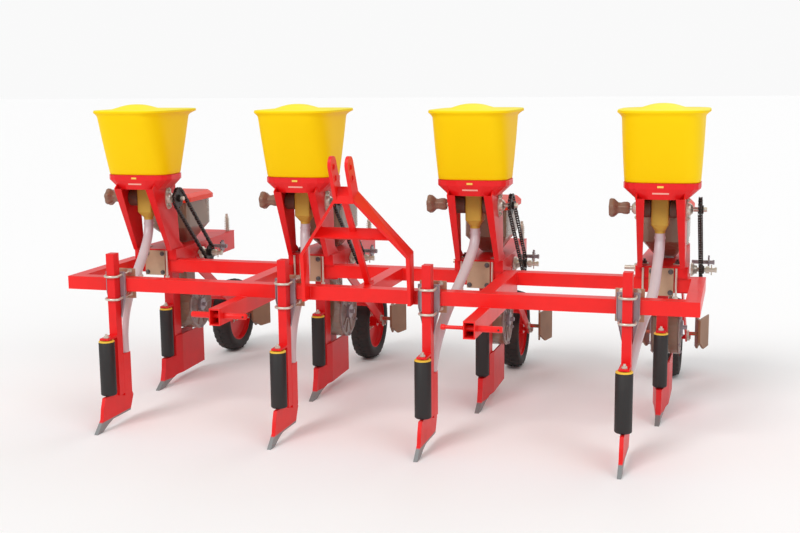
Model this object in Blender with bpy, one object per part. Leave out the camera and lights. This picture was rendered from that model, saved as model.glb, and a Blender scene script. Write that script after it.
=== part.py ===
"""Four-row tractor-mounted corn planter with fertilizer placement.

Metres, +Z up. X runs across the machine, Y runs from the tractor (negative) to
the rear (positive). The floor is Z = 0. The dimensions below count Y from the
front face of the front beam and X from the toolbar's middle; FRAME_SHIFT then
moves the whole machine so that its footprint is centred on the origin. Each row
unit is modelled once around X = 0 and copied to its row.
"""
from math import atan2, cos, pi, sin

import bmesh
import bpy
from mathutils import Matrix, Vector

# ---------------------------------------------------------------- dimensions
FRAME_SHIFT = Vector((0.026, -0.568, 0.0))
GAP = 0.0003                      # clearance between separate touching pieces

# Toolbar: two square beams joined into a ladder frame.
TOOLBAR_LENGTH = 2.350
TUBE = 0.050                      # side of every toolbar tube
BEAM_TOP = 0.555                  # height of the toolbar's upper face
REAR_BEAM_Y = 0.460               # front face of the rear beam
CROSS_BAR_X = 0.453               # outer cross bars, and the hitch arms below

# Lower hitch arms and pins.
ARM_WIDTH, ARM_HEIGHT, ARM_WALL = 0.040, 0.058, 0.004
ARM_FRONT_Y = -0.245
PIN_Y = -0.205
PIN_RADIUS = 0.011
PIN_HALF = 0.104

# Top hitch mast.
MAST_FOOT_X, MAST_TOP_X = 0.195, 0.030
MAST_PLATE, MAST_DEPTH, FOOT_DEPTH = 0.012, 0.060, 0.050
MAST_KNEE_Z, MAST_NECK_Z, MAST_TOP_Z = 0.687, 0.900, 1.037
MAST_KNEE_Y = -0.036
MAST_LEAN = 0.471                      # forward lean above the knees, Y per unit of height
TOP_TIE_Z, MID_TIE_Z = 0.888, 0.760     # folded tie at the necks, tilted flat bar below it
TOP_PIN_Z = (0.962, 1.000)
TOP_PIN_RADIUS = 0.010

# Rows.
ROW_PITCH = 0.686
ROW_CENTRE = -0.012
ROW_COUNT = 4
OPENER_SHIFT = 0.075              # fertilizer opener, inboard of its row

# Fertilizer hopper, lid and metering box, all centred on FEED_Y.
FEED_Y = 0.420
FEED_Z = 0.815                    # feed shaft height
HOPPER_BASE, HOPPER_BASE_Y, HOPPER_BASE_Z = (0.134, 0.094), 0.398, 0.9163
HOPPER_SHOULDER, HOPPER_SHOULDER_Y, HOPPER_SHOULDER_Z = (0.143, 0.190), 0.405, 1.146
HOPPER_RIM, HOPPER_RIM_Y, HOPPER_RIM_Z = (0.160, 0.218), 0.424, 1.170
HOPPER_WALL = 0.004
HOPPER_CORNER = 3.8               # superellipse power of the hopper's plan
CROWN_Y = 0.345                   # centre of the lid's dome
OUTLET_HALF = 0.024
METER_X = -0.006                  # metering box and spout, off the row's middle
METER_HALF = (0.032, 0.036)
METER_WALL = 0.004
METER_FLOOR_Z = 0.759
SPOUT_Z = 0.726
SPOUT_RADIUS = 0.019
SHAFT_RADIUS = 0.0085
FLUTE_RADIUS = 0.022
HOSE_RADIUS = 0.019
HOSE_BEND = (0.38, 0.72, 0.36, 0.12)   # how early each row's hose turns to its opener

# Row frame: hopper stand on a folded channel clamped over the rear beam.
DECK_TOP = 0.598
SHEET = 0.004
DECK_FRONT_Y, DECK_REAR_Y = 0.452, 1.085
DECK_HALF, TAIL_HALF = 0.095, 0.073
SKIRT_Z = 0.512
LEG_X = 0.085                     # outer face of the stand's two legs
LEG_TOP_Y, LEG_FOOT_Y = 0.290, 0.428   # front edge of the legs

# Seed box with its metering drum.
SEED_HALF = (0.085, 0.127)
SEED_Y = 0.697
SEED_TOP_Z = 0.787
FUNNEL_Z = 0.672                  # the box narrows below this height
THROAT_HALF, THROAT_FRONT_Y, THROAT_REAR_Y = 0.030, 0.670, 0.750
DRUM_Y, DRUM_Z, DRUM_RADIUS = 0.737, 0.314, 0.105
DRUM_LEFT, DRUM_RIGHT = -0.040, 0.055

# Anti-wrap rollers in front of both openers.
ROLLER_Z = (0.1265, 0.3365)
ROLLER_PIN = 0.006
FERT_ROLLER_Y, FERT_ROLLER_RADIUS = -0.097, 0.0295
SEED_ROLLER_Y, SEED_ROLLER_RADIUS = 0.524, 0.027

# Ground wheel on its swing arm.
ARM_PIVOT_Y, ARM_PIVOT_Z = 0.640, 0.535
AXLE_Y = 1.210
WHEEL_RADIUS, WHEEL_HALF = 0.172, 0.0425
AXLE_RADIUS = 0.010
FORK_INNER, FORK_OUTER = 0.060, 0.066
FORK_EYE = 0.022                  # radius of the fork's rounded ends

RING_POINTS = 20                  # points round a hopper or lid outline
ROUND = 16                        # sides of a bore, pin or axle


# ------------------------------------------------------------------- helpers
def clear_scene():
    for obj in list(bpy.data.objects):
        bpy.data.objects.remove(obj, do_unlink=True)
    for mesh in list(bpy.data.meshes):
        bpy.data.meshes.remove(mesh)


def paint(name, colour, roughness, metallic=0.0, alpha=1.0):
    """A Principled material with the part's own colour."""
    material = bpy.data.materials.new(name)
    material.use_nodes = True
    shader = material.node_tree.nodes["Principled BSDF"]
    shader.inputs["Base Color"].default_value = (*colour, 1.0)
    shader.inputs["Roughness"].default_value = roughness
    shader.inputs["Metallic"].default_value = metallic
    shader.inputs["Alpha"].default_value = alpha
    material.diffuse_color = (*colour, 1.0)
    return material


def mesh_from(verts, faces):
    """A closed mesh with all its normals facing out."""
    mesh = bpy.data.meshes.new("solid")
    mesh.from_pydata([tuple(v) for v in verts], [], faces)
    bm = bmesh.new()
    bm.from_mesh(mesh)
    bmesh.ops.recalc_face_normals(bm, faces=bm.faces)
    bm.to_mesh(mesh)
    bm.free()
    return mesh


def block(x0, x1, y0, y1, z0, z1):
    verts = [(x, y, z) for z in (z0, z1) for x, y in ((x0, y0), (x1, y0), (x1, y1), (x0, y1))]
    faces = [(3, 2, 1, 0), (4, 5, 6, 7)]
    faces += [(i, (i + 1) % 4, (i + 1) % 4 + 4, i + 4) for i in range(4)]
    return mesh_from(verts, faces)


def side_plate(outline, x0, x1):
    """A flat plate: a (Y, Z) outline between two X values."""
    count = len(outline)
    verts = [(x, y, z) for x in (x0, x1) for y, z in outline]
    faces = [tuple(range(count)), tuple(range(2 * count - 1, count - 1, -1))]
    faces += [(i, (i + 1) % count, (i + 1) % count + count, i + count) for i in range(count)]
    return mesh_from(verts, faces)


def flat_plate(outline, z0, z1):
    """A flat plate: an (X, Y) outline between two heights."""
    count = len(outline)
    verts = [(x, y, z) for z in (z0, z1) for x, y in outline]
    faces = [tuple(range(count)), tuple(range(2 * count - 1, count - 1, -1))]
    faces += [(i, (i + 1) % count, (i + 1) % count + count, i + count) for i in range(count)]
    return mesh_from(verts, faces)


def stack(rings, closed=False):
    """Join outlines of equal length into a solid; closed makes a shell with a way through."""
    count = len(rings[0])
    verts = [point for ring in rings for point in ring]
    pairs = list(zip(range(len(rings)), range(1, len(rings))))
    if closed:
        pairs.append((len(rings) - 1, 0))
    faces = []
    for low, high in pairs:
        for i in range(count):
            j = (i + 1) % count
            faces.append((low * count + i, low * count + j, high * count + j, high * count + i))
    if not closed:
        faces.append(tuple(range(count - 1, -1, -1)))
        last = (len(rings) - 1) * count
        faces.append(tuple(last + i for i in range(count)))
    return mesh_from(verts, faces)


def outline_ring(half_x, half_y, centre_y, z, power=5.0, count=RING_POINTS):
    """A rounded rectangle as a superellipse at height z; power 2 is an ellipse."""
    ring = []
    for i in range(count):
        angle = 2 * pi * (i + 0.5) / count
        c, s = cos(angle), sin(angle)
        x = half_x * (abs(c) ** (2 / power)) * (1 if c > 0 else -1)
        y = half_y * (abs(s) ** (2 / power)) * (1 if s > 0 else -1)
        ring.append((x, centre_y + y, z))
    return ring


def turned(profile, centre, axis, count, closed=False):
    """A lathe solid: profile is (distance along axis, radius) about X or Z."""
    rings = []
    for along, radius in profile:
        ring = []
        for i in range(count):
            angle = 2 * pi * i / count
            a, b = radius * cos(angle), radius * sin(angle)
            offset = (along, a, b) if axis == "X" else (a, b, along)
            ring.append(tuple(Vector(centre) + Vector(offset)))
        rings.append(ring)
    return stack(rings, closed)


def rod(start, end, radius, count=12):
    """A round bar between two points."""
    start, end = Vector(start), Vector(end)
    along = (end - start).normalized()
    side = along.orthogonal().normalized()
    other = along.cross(side)
    rings = []
    for point in (start, end):
        rings.append([
            tuple(point + radius * (cos(2 * pi * i / count) * side + sin(2 * pi * i / count) * other))
            for i in range(count)
        ])
    return stack(rings)


def fuse(meshes, cuts=()):
    """Unite meshes, then subtract cuts, with exact Booleans, into one mesh."""
    body = bpy.data.objects.new("body", meshes[0])
    bpy.context.scene.collection.objects.link(body)
    tools = []
    for mesh, operation in [(m, "UNION") for m in meshes[1:]] + [(m, "DIFFERENCE") for m in cuts]:
        tool = bpy.data.objects.new("tool", mesh)
        bpy.context.scene.collection.objects.link(tool)
        modifier = body.modifiers.new(operation, "BOOLEAN")
        modifier.operation = operation
        modifier.solver = "EXACT"
        modifier.object = tool
        tools.append(tool)
    graph = bpy.context.evaluated_depsgraph_get()
    graph.update()
    result = bpy.data.meshes.new_from_object(body.evaluated_get(graph))
    for obj in [body] + tools:
        bpy.data.objects.remove(obj, do_unlink=True)
    bm = bmesh.new()
    bm.from_mesh(result)
    bmesh.ops.remove_doubles(bm, verts=bm.verts, dist=0.00001)
    bm.to_mesh(result)
    bm.free()
    return result


def place(name, mesh, material, collection, origin=(0.0, 0.0, 0.0), shift=0.0):
    """Add a named part; the mesh is moved by shift in X and the origin set on its joint's axis."""
    data = mesh.copy()
    data.name = name
    move = FRAME_SHIFT + Vector((shift, 0.0, 0.0))
    origin = Vector(origin) + move
    data.transform(Matrix.Translation(move - origin))
    data.materials.clear()
    data.materials.append(material)
    obj = bpy.data.objects.new(name, data)
    obj.location = origin
    collection.objects.link(obj)
    return obj


# ------------------------------------------------------------- whole machine
def main_frame():
    """Ladder toolbar with the two lower hitch arms welded under it."""
    half = TOOLBAR_LENGTH / 2
    low = BEAM_TOP - TUBE
    back = REAR_BEAM_Y + TUBE
    ladder = block(-half, half, 0.0, back, low, BEAM_TOP)
    edges = [-half + TUBE]
    for x in (-CROSS_BAR_X, 0.0, CROSS_BAR_X):
        edges += [x - TUBE / 2, x + TUBE / 2]
    edges.append(half - TUBE)
    windows = [
        block(edges[i], edges[i + 1], TUBE, REAR_BEAM_Y, low - 0.01, BEAM_TOP + 0.01)
        for i in range(0, len(edges), 2)
    ]
    arms, hollows = [], []
    arm_top = low + 0.002
    arm_low = low - ARM_HEIGHT
    for x in (-CROSS_BAR_X, CROSS_BAR_X):
        arms.append(block(x - ARM_WIDTH / 2, x + ARM_WIDTH / 2, ARM_FRONT_Y, back - 0.01, arm_low, arm_top))
        inner = ARM_WIDTH / 2 - ARM_WALL
        hollows.append(block(x - inner, x + inner, ARM_FRONT_Y - 0.01, PIN_Y + 0.11,
                             arm_low + ARM_WALL, low - ARM_WALL))
        centre = (x, PIN_Y, low - ARM_HEIGHT / 2)
        hollows.append(turned([(-0.03, PIN_RADIUS + GAP), (0.03, PIN_RADIUS + GAP)], centre, "X", ROUND))
    return fuse([ladder] + arms, windows + hollows)


def lower_pin(stepped):
    """Hitch pin through a lower arm; the stepped one is thin on its left with a head."""
    if stepped:
        profile = [(-PIN_HALF, 0.0095), (-PIN_HALF + 0.012, 0.0095), (-PIN_HALF + 0.016, 0.0065),
                   (-0.030, 0.0065), (-0.026, PIN_RADIUS), (PIN_HALF, PIN_RADIUS)]
    else:
        profile = [(-PIN_HALF, PIN_RADIUS), (PIN_HALF, PIN_RADIUS)]
    return turned(profile, (0.0, PIN_Y, BEAM_TOP - TUBE - ARM_HEIGHT / 2), "X", ROUND)


def hitch_mast():
    """Two bent flat bars that lean forward, their ties and the rear brace."""
    half = MAST_DEPTH / 2
    lean = atan2(MAST_LEAN, 1.0)
    across_y, across_z = half * cos(lean), half * sin(lean)

    def middle_y(z):
        return MAST_KNEE_Y - MAST_LEAN * (z - MAST_KNEE_Z)

    def bar_x(z):
        return MAST_FOOT_X + (MAST_TOP_X - MAST_FOOT_X) * (z - MAST_KNEE_Z) / (MAST_NECK_Z - MAST_KNEE_Z)

    neck_y = middle_y(MAST_NECK_Z)
    thick = MAST_PLATE / 2
    foot = -FOOT_DEPTH / 2 - GAP
    crown_z = MAST_TOP_Z - half
    crown_y = middle_y(crown_z)
    path = [(MAST_FOOT_X, foot, BEAM_TOP - TUBE + 0.003, thick, FOOT_DEPTH / 2, 0.0),
            (MAST_FOOT_X, foot, BEAM_TOP, thick, FOOT_DEPTH / 2, 0.0),
            (MAST_FOOT_X, MAST_KNEE_Y, MAST_KNEE_Z, 1.12 * thick, across_y, 0.7 * across_z),
            (MAST_TOP_X, neck_y, MAST_NECK_Z, thick, across_y, across_z)]
    cheek = [(neck_y - across_y, MAST_NECK_Z - across_z - 0.001),
             (neck_y + across_y, MAST_NECK_Z + across_z - 0.001)]
    for step in range(9):
        angle = pi * step / 8 + lean
        cheek.append((crown_y + half * cos(angle), crown_z + half * sin(angle)))
    pieces = []
    for side in (-1, 1):
        pieces.append(stack([[(side * x + dx, y + sign * dy, z + sign * dz)
                              for dx, sign in ((-wide, -1), (wide, -1), (wide, 1), (-wide, 1))]
                             for x, y, z, wide, dy, dz in path]))
        middle = side * MAST_TOP_X
        pieces.append(side_plate(cheek, middle - thick, middle + thick))
    tie_y = middle_y(TOP_TIE_Z)
    fold = [(-0.0325, 0.874), (-0.0325, 0.900), (-0.004, 0.930), (0.002, 0.924), (-0.0245, 0.896),
            (-0.0245, 0.874)]
    pieces.append(side_plate([(tie_y + y, z) for y, z in fold], -0.0355, 0.0355))
    tilted = [(-0.019, -0.013), (-0.013, -0.019), (0.019, 0.013), (0.013, 0.019)]
    pieces.append(stack([[(side * bar_x(MID_TIE_Z + dz), middle_y(MID_TIE_Z) + dy, MID_TIE_Z + dz)
                          for dy, dz in tilted] for side in (-1, 1)]))
    deck = BEAM_TOP + GAP
    brace = [(tie_y - 0.027, 0.886), (tie_y - 0.013, 0.886), (0.100, deck + 0.010), (0.130, deck + 0.010),
             (0.130, deck), (0.084, deck)]
    pieces.append(side_plate(brace, -0.010, 0.010))
    holes = []
    for z in TOP_PIN_Z:
        holes.append(turned([(-0.05, TOP_PIN_RADIUS), (0.05, TOP_PIN_RADIUS)],
                            (0.0, middle_y(z) - 0.004, z), "X", ROUND))
    return fuse(pieces, holes)


# ------------------------------------------------------------------ row unit
def fert_hopper():
    """Flared plastic bin with a rolled rim and an outlet in its floor."""
    wall = HOPPER_WALL
    base_x, base_y = HOPPER_BASE
    mid_x, mid_y = HOPPER_SHOULDER
    rim_x, rim_y = HOPPER_RIM

    def ring(half_x, half_y, centre_y, z):
        return outline_ring(half_x, half_y, centre_y, z, HOPPER_CORNER)

    def outlet(z):
        points = outline_ring(OUTLET_HALF, OUTLET_HALF, FEED_Y, z)
        return [(x + METER_X, y, height) for x, y, height in points]

    outer = [outlet(HOPPER_BASE_Z),
             ring(base_x - 0.003, base_y - 0.003, HOPPER_BASE_Y, HOPPER_BASE_Z),
             ring(base_x, base_y, HOPPER_BASE_Y, HOPPER_BASE_Z + 0.006),
             ring(mid_x, mid_y, HOPPER_SHOULDER_Y, HOPPER_SHOULDER_Z),
             ring(rim_x, rim_y, HOPPER_RIM_Y, HOPPER_RIM_Z - 0.008),
             ring(rim_x, rim_y, HOPPER_RIM_Y, HOPPER_RIM_Z)]
    inner = [ring(rim_x - 0.005, rim_y - 0.005, HOPPER_RIM_Y, HOPPER_RIM_Z),
             ring(mid_x - wall, mid_y - wall, HOPPER_SHOULDER_Y, HOPPER_SHOULDER_Z),
             ring(base_x - wall, base_y - wall, HOPPER_BASE_Y, HOPPER_BASE_Z + 0.008),
             outlet(HOPPER_BASE_Z + wall)]
    return stack(outer + inner, closed=True)


def hopper_lid():
    """Lid resting on the rim, with a domed crown and a short lip inside the bin."""
    rim_x, rim_y = HOPPER_RIM
    seat = HOPPER_RIM_Z + GAP

    def rim(grow, z):
        return outline_ring(rim_x + grow, rim_y + grow, HOPPER_RIM_Y, z, HOPPER_CORNER)

    def crown(scale, z):
        return outline_ring(0.112 * scale, 0.128 * scale, CROWN_Y, z, 2.4)

    outer = [rim(-0.0005, seat), rim(-0.0010, seat + 0.0035), crown(1.0, seat + 0.005),
             crown(0.78, seat + 0.017), crown(0.42, seat + 0.026)]
    inner = [crown(0.40, seat + 0.0235), crown(0.76, seat + 0.0145), crown(0.98, seat + 0.0025),
             rim(-0.013, seat)]
    return shell(outer, inner)


def shell(outer, inner):
    """A cap: outer outlines from the open edge up, then inner ones back down to it."""
    count = len(outer[0])
    rings = outer + inner
    verts = [point for ring in rings for point in ring]
    top = len(outer) - 1
    faces = []
    for low in range(len(rings)):
        if low == top:
            continue
        high = (low + 1) % len(rings)
        for i in range(count):
            j = (i + 1) % count
            faces.append((low * count + i, low * count + j, high * count + j, high * count + i))
    faces.append(tuple(top * count + i for i in range(count)))
    faces.append(tuple((top + 1) * count + i for i in range(count - 1, -1, -1)))
    return mesh_from(verts, faces)


def fert_meter():
    """Metering box under the hopper: open above and below, bored for the feed shaft."""
    half_x, half_y = METER_HALF
    wall = METER_WALL
    top = HOPPER_BASE_Z - GAP

    def ring(x, y, z, power):
        points = outline_ring(x, y, FEED_Y, z, power, ROUND)
        return [(px + METER_X, py, pz) for px, py, pz in points]

    outer = [ring(half_x, half_y, top, 9.0),
             ring(half_x, half_y, METER_FLOOR_Z, 9.0),
             ring(SPOUT_RADIUS, SPOUT_RADIUS, SPOUT_Z + 0.008, 2.0),
             ring(SPOUT_RADIUS, SPOUT_RADIUS, SPOUT_Z, 2.0)]
    inner = [ring(SPOUT_RADIUS - wall, SPOUT_RADIUS - wall, SPOUT_Z, 2.0),
             ring(SPOUT_RADIUS - wall, SPOUT_RADIUS - wall, SPOUT_Z + 0.010, 2.0),
             ring(half_x - wall, half_y - wall, METER_FLOOR_Z + 0.003, 9.0),
             ring(half_x - wall, half_y - wall, top, 9.0)]
    bore = turned([(-0.05, SHAFT_RADIUS + GAP), (0.05, SHAFT_RADIUS + GAP)],
                  (0.0, FEED_Y, FEED_Z), "X", 24)
    return fuse([stack(outer + inner, closed=True)], [bore])


def feed_shaft():
    """Fluted feed roller on its shaft, hand knob on the left, sprocket on the right."""
    shaft = SHAFT_RADIUS
    profile = [(-0.190, 0.030), (-0.187, 0.037), (-0.172, 0.035), (-0.158, 0.020), (-0.132, 0.024),
               (-0.118, 0.024), (-0.116, shaft),
               (METER_X - 0.0265, shaft), (METER_X - 0.0265, FLUTE_RADIUS),
               (METER_X + 0.0265, FLUTE_RADIUS), (METER_X + 0.0265, shaft),
               (0.131, shaft), (0.131, 0.039), (0.139, 0.039), (0.139, shaft), (0.157, shaft)]
    return turned(profile, (0.0, FEED_Y, FEED_Z), "X", 12)


def fert_hose(side, bend):
    """Delivery hose from the spout down to the opener's tube; bend is its sideways share halfway."""
    start = METER_X
    run = side * OPENER_SHIFT - start
    points = [(start, FEED_Y, SPOUT_Z - GAP), (start, FEED_Y - 0.006, 0.680),
              (start + 0.35 * bend * run, 0.358, 0.615), (start + bend * run, 0.245, 0.532),
              (start + (0.45 + 0.55 * bend) * run, 0.120, 0.440),
              (start + (0.80 + 0.20 * bend) * run, 0.050, 0.345),
              (start + run, 0.030, 0.262 + GAP)]
    curve = bpy.data.curves.new("hose", "CURVE")
    curve.dimensions = "3D"
    curve.bevel_depth = HOSE_RADIUS
    curve.bevel_resolution = 2
    curve.resolution_u = 3
    curve.use_fill_caps = True
    spline = curve.splines.new("BEZIER")
    spline.bezier_points.add(len(points) - 1)
    for point, bezier in zip(points, spline.bezier_points):
        bezier.co = point
        bezier.handle_left_type = "AUTO"
        bezier.handle_right_type = "AUTO"
    handle = Vector((0.0, 0.0, 0.02))
    for bezier in (spline.bezier_points[0], spline.bezier_points[-1]):
        bezier.handle_left_type = "FREE"
        bezier.handle_right_type = "FREE"
        bezier.handle_left = bezier.co + handle
        bezier.handle_right = bezier.co - handle
    holder = bpy.data.objects.new("hose", curve)
    bpy.context.scene.collection.objects.link(holder)
    graph = bpy.context.evaluated_depsgraph_get()
    graph.update()
    mesh = bpy.data.meshes.new_from_object(holder.evaluated_get(graph))
    bpy.data.objects.remove(holder, do_unlink=True)
    bm = bmesh.new()
    bm.from_mesh(mesh)
    bmesh.ops.remove_doubles(bm, verts=bm.verts, dist=0.0001)
    bmesh.ops.recalc_face_normals(bm, faces=bm.faces)
    bm.to_mesh(mesh)
    bm.free()
    return mesh


def fert_opener():
    """Shank with its clamp plate, roller bracket and pin, delivery tube, blade and point."""
    shank_back = -0.0055
    shank = block(-0.016, 0.016, -0.0455, shank_back, 0.110, 0.653)
    clamp = [(-0.038, 0.580), (0.038, 0.580), (0.038, 0.500), (0.017, 0.405), (-0.017, 0.405),
             (-0.038, 0.500)]
    plate = mesh_from([(x, y, z) for y in (shank_back - 0.001, -GAP) for x, z in clamp],
                      [tuple(range(6)), tuple(range(11, 5, -1))]
                      + [(i, (i + 1) % 6, (i + 1) % 6 + 6, i + 6) for i in range(6)])
    tube = block(-0.0165, 0.0165, -0.007, 0.047, 0.100, 0.262)
    blade = side_plate([(-0.136, 0.122), (-0.150, 0.085), (-0.158, 0.045), (-0.205, 0.0), (-0.168, 0.0),
                        (-0.120, 0.020), (-0.085, 0.030), (0.045, 0.029), (0.072, 0.085), (0.060, 0.107),
                        (0.040, 0.124)], -0.007, 0.007)
    bracket = block(-0.018, 0.018, FERT_ROLLER_Y - 0.018, -0.044, ROLLER_Z[1] + GAP, 0.344)
    pin = rod((0.0, FERT_ROLLER_Y, 0.110), (0.0, FERT_ROLLER_Y, 0.341), ROLLER_PIN, 12)
    bore = turned([(0.140, 0.012), (0.270, 0.012)], (0.0, 0.030, 0.0), "Z", 12)
    return fuse([shank, plate, tube, blade, bracket, pin], [bore])


def roller(radius, centre_y):
    """Anti-wrap roller: a sleeve with a recessed upper cap, free on its pin."""
    low, high = ROLLER_Z
    bore = ROLLER_PIN + GAP
    profile = [(low, bore), (low, radius - 0.003), (low + 0.004, radius), (high - 0.004, radius),
               (high, radius - 0.003), (high, radius - 0.007), (high - 0.006, radius - 0.009),
               (high - 0.006, bore)]
    return turned(profile, (0.0, centre_y, 0.0), "Z", 12, closed=True)


def unit_frame():
    """Hopper stand welded on the folded channel that grips the rear beam."""
    base_x, base_y = HOPPER_BASE
    top = HOPPER_BASE_Z - GAP

    def ring(half_x, half_y, centre_y, z):
        return outline_ring(half_x, half_y, centre_y, z, HOPPER_CORNER)

    funnel_x, funnel_y, funnel_at = 0.094, 0.092, HOPPER_BASE_Y + 0.004
    collar = stack([ring(base_x + 0.002, base_y + 0.002, HOPPER_BASE_Y, top),
                    ring(base_x + 0.002, base_y + 0.002, HOPPER_BASE_Y, top - 0.020),
                    ring(funnel_x, funnel_y, funnel_at, 0.858),
                    ring(funnel_x - 0.004, funnel_y - 0.004, funnel_at, 0.858),
                    ring(base_x - 0.010, base_y - 0.010, HOPPER_BASE_Y, top - 0.017),
                    ring(base_x - 0.010, base_y - 0.010, HOPPER_BASE_Y, top)], closed=True)
    pieces = [collar]
    leg_foot = DECK_TOP - 0.002
    leg_rear = LEG_FOOT_Y + 0.072
    for side in (-1, 1):
        leg = [(LEG_TOP_Y + 0.020, 0.878), (LEG_TOP_Y, 0.862), (LEG_FOOT_Y, leg_foot),
               (leg_rear + 0.045, leg_foot), (leg_rear + 0.045, DECK_TOP + 0.005),
               (leg_rear + 0.008, DECK_TOP + 0.030), (leg_rear - 0.012, 0.878)]
        faces = sorted((side * LEG_X, side * (LEG_X - SHEET)))
        pieces.append(side_plate(leg, *faces))
        top_width, foot_width = 0.030, 0.017
        outer = LEG_X - 0.0008
        corners = [(outer, LEG_TOP_Y, 0.862), (outer - top_width, LEG_TOP_Y, 0.862),
                   (outer - foot_width, LEG_FOOT_Y, leg_foot), (outer, LEG_FOOT_Y, leg_foot)]
        verts = [(side * x, y + depth, z) for depth in (0.0, SHEET) for x, y, z in corners]
        pieces.append(mesh_from(verts, [(0, 1, 2, 3), (7, 6, 5, 4)]
                                + [(i, (i + 1) % 4, (i + 1) % 4 + 4, i + 4) for i in range(4)]))
    deck = flat_plate([(-DECK_HALF, DECK_FRONT_Y), (DECK_HALF, DECK_FRONT_Y), (DECK_HALF, 0.600),
                       (TAIL_HALF, DECK_REAR_Y), (-TAIL_HALF, DECK_REAR_Y), (-DECK_HALF, 0.600)],
                      DECK_TOP - SHEET, DECK_TOP)
    pieces.append(deck)
    wall_front = REAR_BEAM_Y + TUBE + GAP
    for side in (-1, 1):
        front_outer, tail_outer = side * (DECK_HALF - 0.0005), side * (TAIL_HALF - 0.0005)
        front_inner, tail_inner = front_outer - side * SHEET, tail_outer - side * SHEET
        plan = [(front_outer, wall_front), (front_outer, 0.600), (tail_outer, DECK_REAR_Y - 0.001),
                (tail_inner, DECK_REAR_Y - 0.001), (front_inner, 0.600), (front_inner, wall_front)]
        pieces.append(flat_plate(plan, SKIRT_Z, DECK_TOP - 0.002))
        beam_part = [side * (DECK_HALF - 0.0005), side * (DECK_HALF - 0.0005 - SHEET)]
        pieces.append(block(min(beam_part), max(beam_part), DECK_FRONT_Y + 0.001, wall_front + 0.002,
                            BEAM_TOP + GAP, DECK_TOP - 0.002))
    pieces.append(block(-DECK_HALF + 0.001, DECK_HALF - 0.001, DECK_FRONT_Y + 0.0005, DECK_FRONT_Y + SHEET,
                        BEAM_TOP + GAP, DECK_TOP - 0.002))
    pieces.append(block(-DECK_HALF + 0.001, DECK_HALF - 0.001, wall_front, wall_front + SHEET,
                        0.490, DECK_TOP - 0.002))
    shaft_hole = turned([(-0.12, 0.012), (0.12, 0.012)], (0.0, FEED_Y, FEED_Z), "X", 12)
    pivot_hole = turned([(-0.12, 0.0103), (0.12, 0.0103)], (0.0, ARM_PIVOT_Y, ARM_PIVOT_Z), "X", ROUND)
    slack = 0.0005
    throat = block(-THROAT_HALF - slack, THROAT_HALF + slack, THROAT_FRONT_Y - slack, THROAT_REAR_Y + slack,
                   DECK_TOP - 0.01, DECK_TOP + 0.01)
    return fuse(pieces, [shaft_hole, pivot_hole, throat])


def seed_box():
    """Clear seed box with a funnel bottom, its throat through the deck and the metering drum."""
    half_x, half_y = SEED_HALF
    floor = DECK_TOP + 0.004
    wall = 0.003
    throat_y = (THROAT_FRONT_Y + THROAT_REAR_Y) / 2
    throat_half_y = (THROAT_REAR_Y - THROAT_FRONT_Y) / 2

    def ring(inset, z):
        return outline_ring(half_x - inset, half_y - inset, SEED_Y, z, 9.0, ROUND)

    def neck(inset, z):
        return outline_ring(THROAT_HALF + 0.006 - inset, throat_half_y + 0.006 - inset, throat_y, z,
                            9.0, ROUND)

    box = stack([neck(0.0, floor), ring(0.0, FUNNEL_Z), ring(0.0, SEED_TOP_Z), ring(wall, SEED_TOP_Z),
                 ring(wall, FUNNEL_Z), neck(0.008, floor + wall)])
    throat = block(-THROAT_HALF, THROAT_HALF, THROAT_FRONT_Y, THROAT_REAR_Y, 0.385, floor + 0.002)
    drum = turned([(DRUM_LEFT, DRUM_RADIUS), (DRUM_RIGHT, DRUM_RADIUS)], (0.0, DRUM_Y, DRUM_Z), "X", 24)
    return fuse([box, throat, drum])


def seed_lid():
    """Chamfered seed box lid, hinged along its rear edge."""
    half_x, half_y = SEED_HALF
    seat = SEED_TOP_Z + GAP

    def ring(grow, z):
        return outline_ring(half_x + grow, half_y + grow, SEED_Y, z, 9.0, 16)

    outer = [ring(0.015, seat - 0.008), ring(0.015, seat + 0.010), ring(-0.001, seat + 0.027)]
    inner = [ring(-0.005, seat + 0.022), ring(-0.005, seat), ring(0.003, seat), ring(0.003, seat - 0.008)]
    return shell(outer, inner)


def seed_opener():
    """Furrow opener: shank, hollow shoe open to the rear, steel point and roller bracket."""
    shank = block(-0.020, 0.020, 0.556, 0.620, 0.100, DECK_TOP - SHEET - GAP)
    shoe = side_plate([(0.560, 0.205), (0.560, 0.121), (0.486, 0.121), (0.482, 0.080), (0.466, 0.030),
                       (0.418, 0.0), (0.470, 0.0), (0.530, 0.028), (0.560, 0.038), (0.815, 0.042),
                       (0.815, 0.205)], -0.030, 0.030)
    bracket = block(-0.018, 0.018, SEED_ROLLER_Y - 0.018, 0.560, ROLLER_Z[1] + GAP, 0.344)
    pin = rod((0.0, SEED_ROLLER_Y, 0.110), (0.0, SEED_ROLLER_Y, 0.341), ROLLER_PIN, 12)
    cuts = [block(-0.024, 0.024, 0.622, 0.830, 0.030, 0.215)]
    for side in (-1, 1):
        cuts.append(flat_plate([(side * 0.008, 0.400), (side * 0.010, 0.486), (side * 0.0305, 0.610),
                                (side * 0.050, 0.610), (side * 0.050, 0.400)], -0.01, 0.125))
        cuts.append(flat_plate([(side * 0.0205, 0.550), (side * 0.0305, 0.612),
                                (side * 0.050, 0.612), (side * 0.050, 0.550)], 0.120, 0.215))
    body = fuse([shoe], cuts)
    return fuse([body, shank, bracket, pin])


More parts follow.
